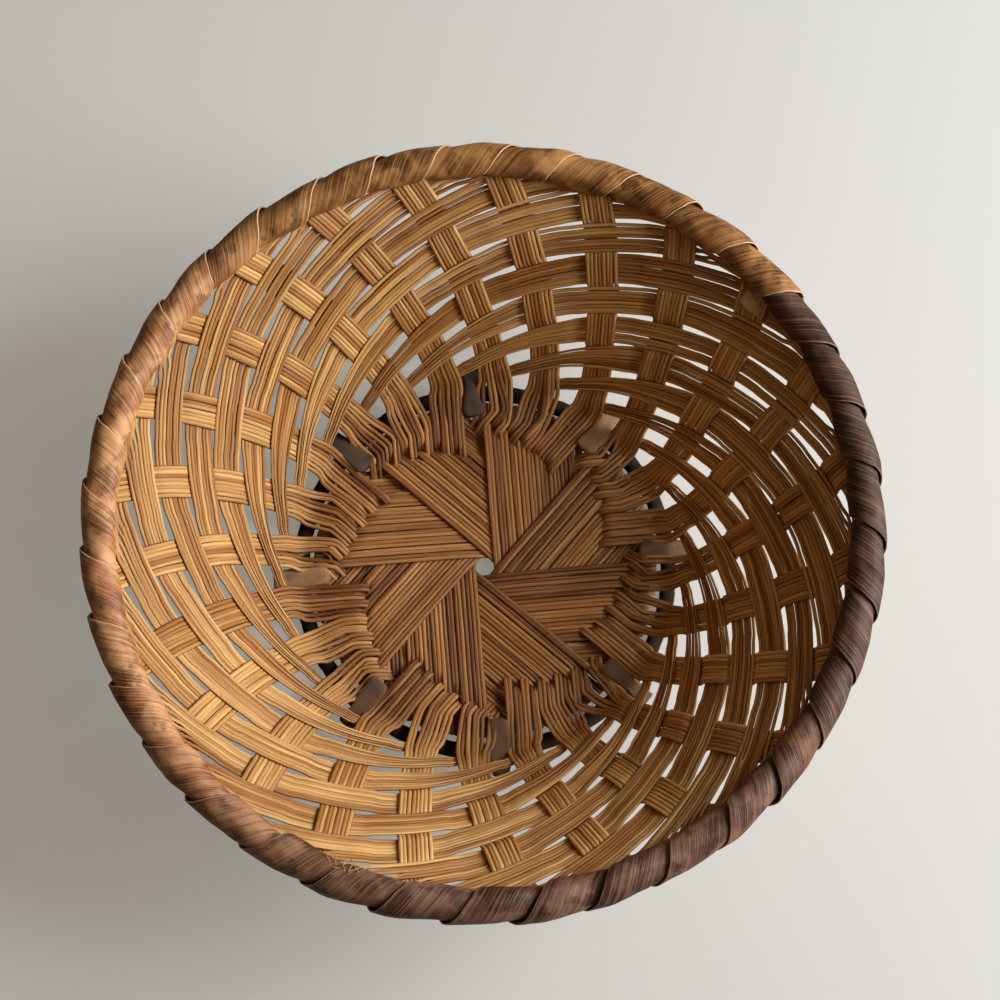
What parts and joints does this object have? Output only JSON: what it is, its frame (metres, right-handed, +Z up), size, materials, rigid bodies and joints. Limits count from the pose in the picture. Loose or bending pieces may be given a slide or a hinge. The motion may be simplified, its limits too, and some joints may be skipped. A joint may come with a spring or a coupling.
{
  "type": "woven basket",
  "caption": "Open shallow basket plaited from bundles of thin rods, with a pinwheel floor, a bark-wrapped rim hoop, a foot hoop and wedged pegs.",
  "frame": {"origin": "centre of the basket's bounding box on the surface it stands on, under the eye of the floor", "axes": "+Z up through the open mouth; +X and +Y across the mouth, with +Y towards the picture's upper edge"},
  "size_m": [0.3288, 0.3288, 0.108],
  "materials": {
    "rods_shaded": "dry peeled rods, reddish brown, satin",
    "rods_lit": "dry peeled rods, straw brown, satin",
    "light_bark": "wide golden bark strip, fibrous, slightly glossy",
    "dark_bark": "wide dark grey-brown bark strip, fibrous",
    "hoop_wood": "plain hoop under the bark",
    "foot_bark": "dark wrapped foot hoop, matt",
    "peg_wood": "whittled pegs, pale cut faces"
  },
  "bodies": {
    "root": {"foot_ring": "foot_bark", "peg_1": "peg_wood", "peg_2": "peg_wood", "peg_3": "peg_wood", "peg_4": "peg_wood", "peg_5": "peg_wood", "peg_6": "peg_wood", "peg_7": "peg_wood", "peg_8": "peg_wood", "rim_hoop": "hoop_wood", "rim_wrap_dark": "dark_bark", "rim_wrap_light": "light_bark", "stake_01": "rods_shaded", "stake_02": "rods_shaded", "stake_03": "rods_shaded", "stake_04": "rods_shaded", "stake_05": "rods_shaded", "stake_06": "rods_shaded", "stake_07": "rods_shaded", "stake_08": "rods_shaded", "stake_09": "rods_shaded", "stake_10": "rods_shaded", "stake_11": "rods_shaded", "stake_12": "rods_shaded", "stake_13": "rods_shaded", "stake_14": "rods_shaded", "stake_15": "rods_shaded", "stake_16": "rods_shaded", "stake_17": "rods_shaded", "stake_18": "rods_shaded", "stake_19": "rods_shaded", "stake_20": "rods_shaded", "stake_21": "rods_shaded", "stake_22": "rods_shaded", "stake_23": "rods_shaded", "stake_24": "rods_shaded", "weaver_01": "rods_lit", "weaver_02": "rods_lit", "weaver_03": "rods_lit", "weaver_04": "rods_lit", "weaver_05": "rods_lit", "weaver_06": "rods_lit", "weaver_07": "rods_lit", "weaver_08": "rods_lit", "weaver_09": "rods_lit", "weaver_10": "rods_lit", "weaver_11": "rods_lit", "weaver_12": "rods_lit", "weaver_13": "rods_lit", "weaver_14": "rods_lit", "weaver_15": "rods_lit", "weaver_16": "rods_lit", "weaver_17": "rods_lit", "weaver_18": "rods_lit", "weaver_19": "rods_lit", "weaver_20": "rods_lit", "weaver_21": "rods_lit", "weaver_22": "rods_lit", "weaver_23": "rods_lit", "weaver_24": "rods_lit"}
  },
  "joints": []
}
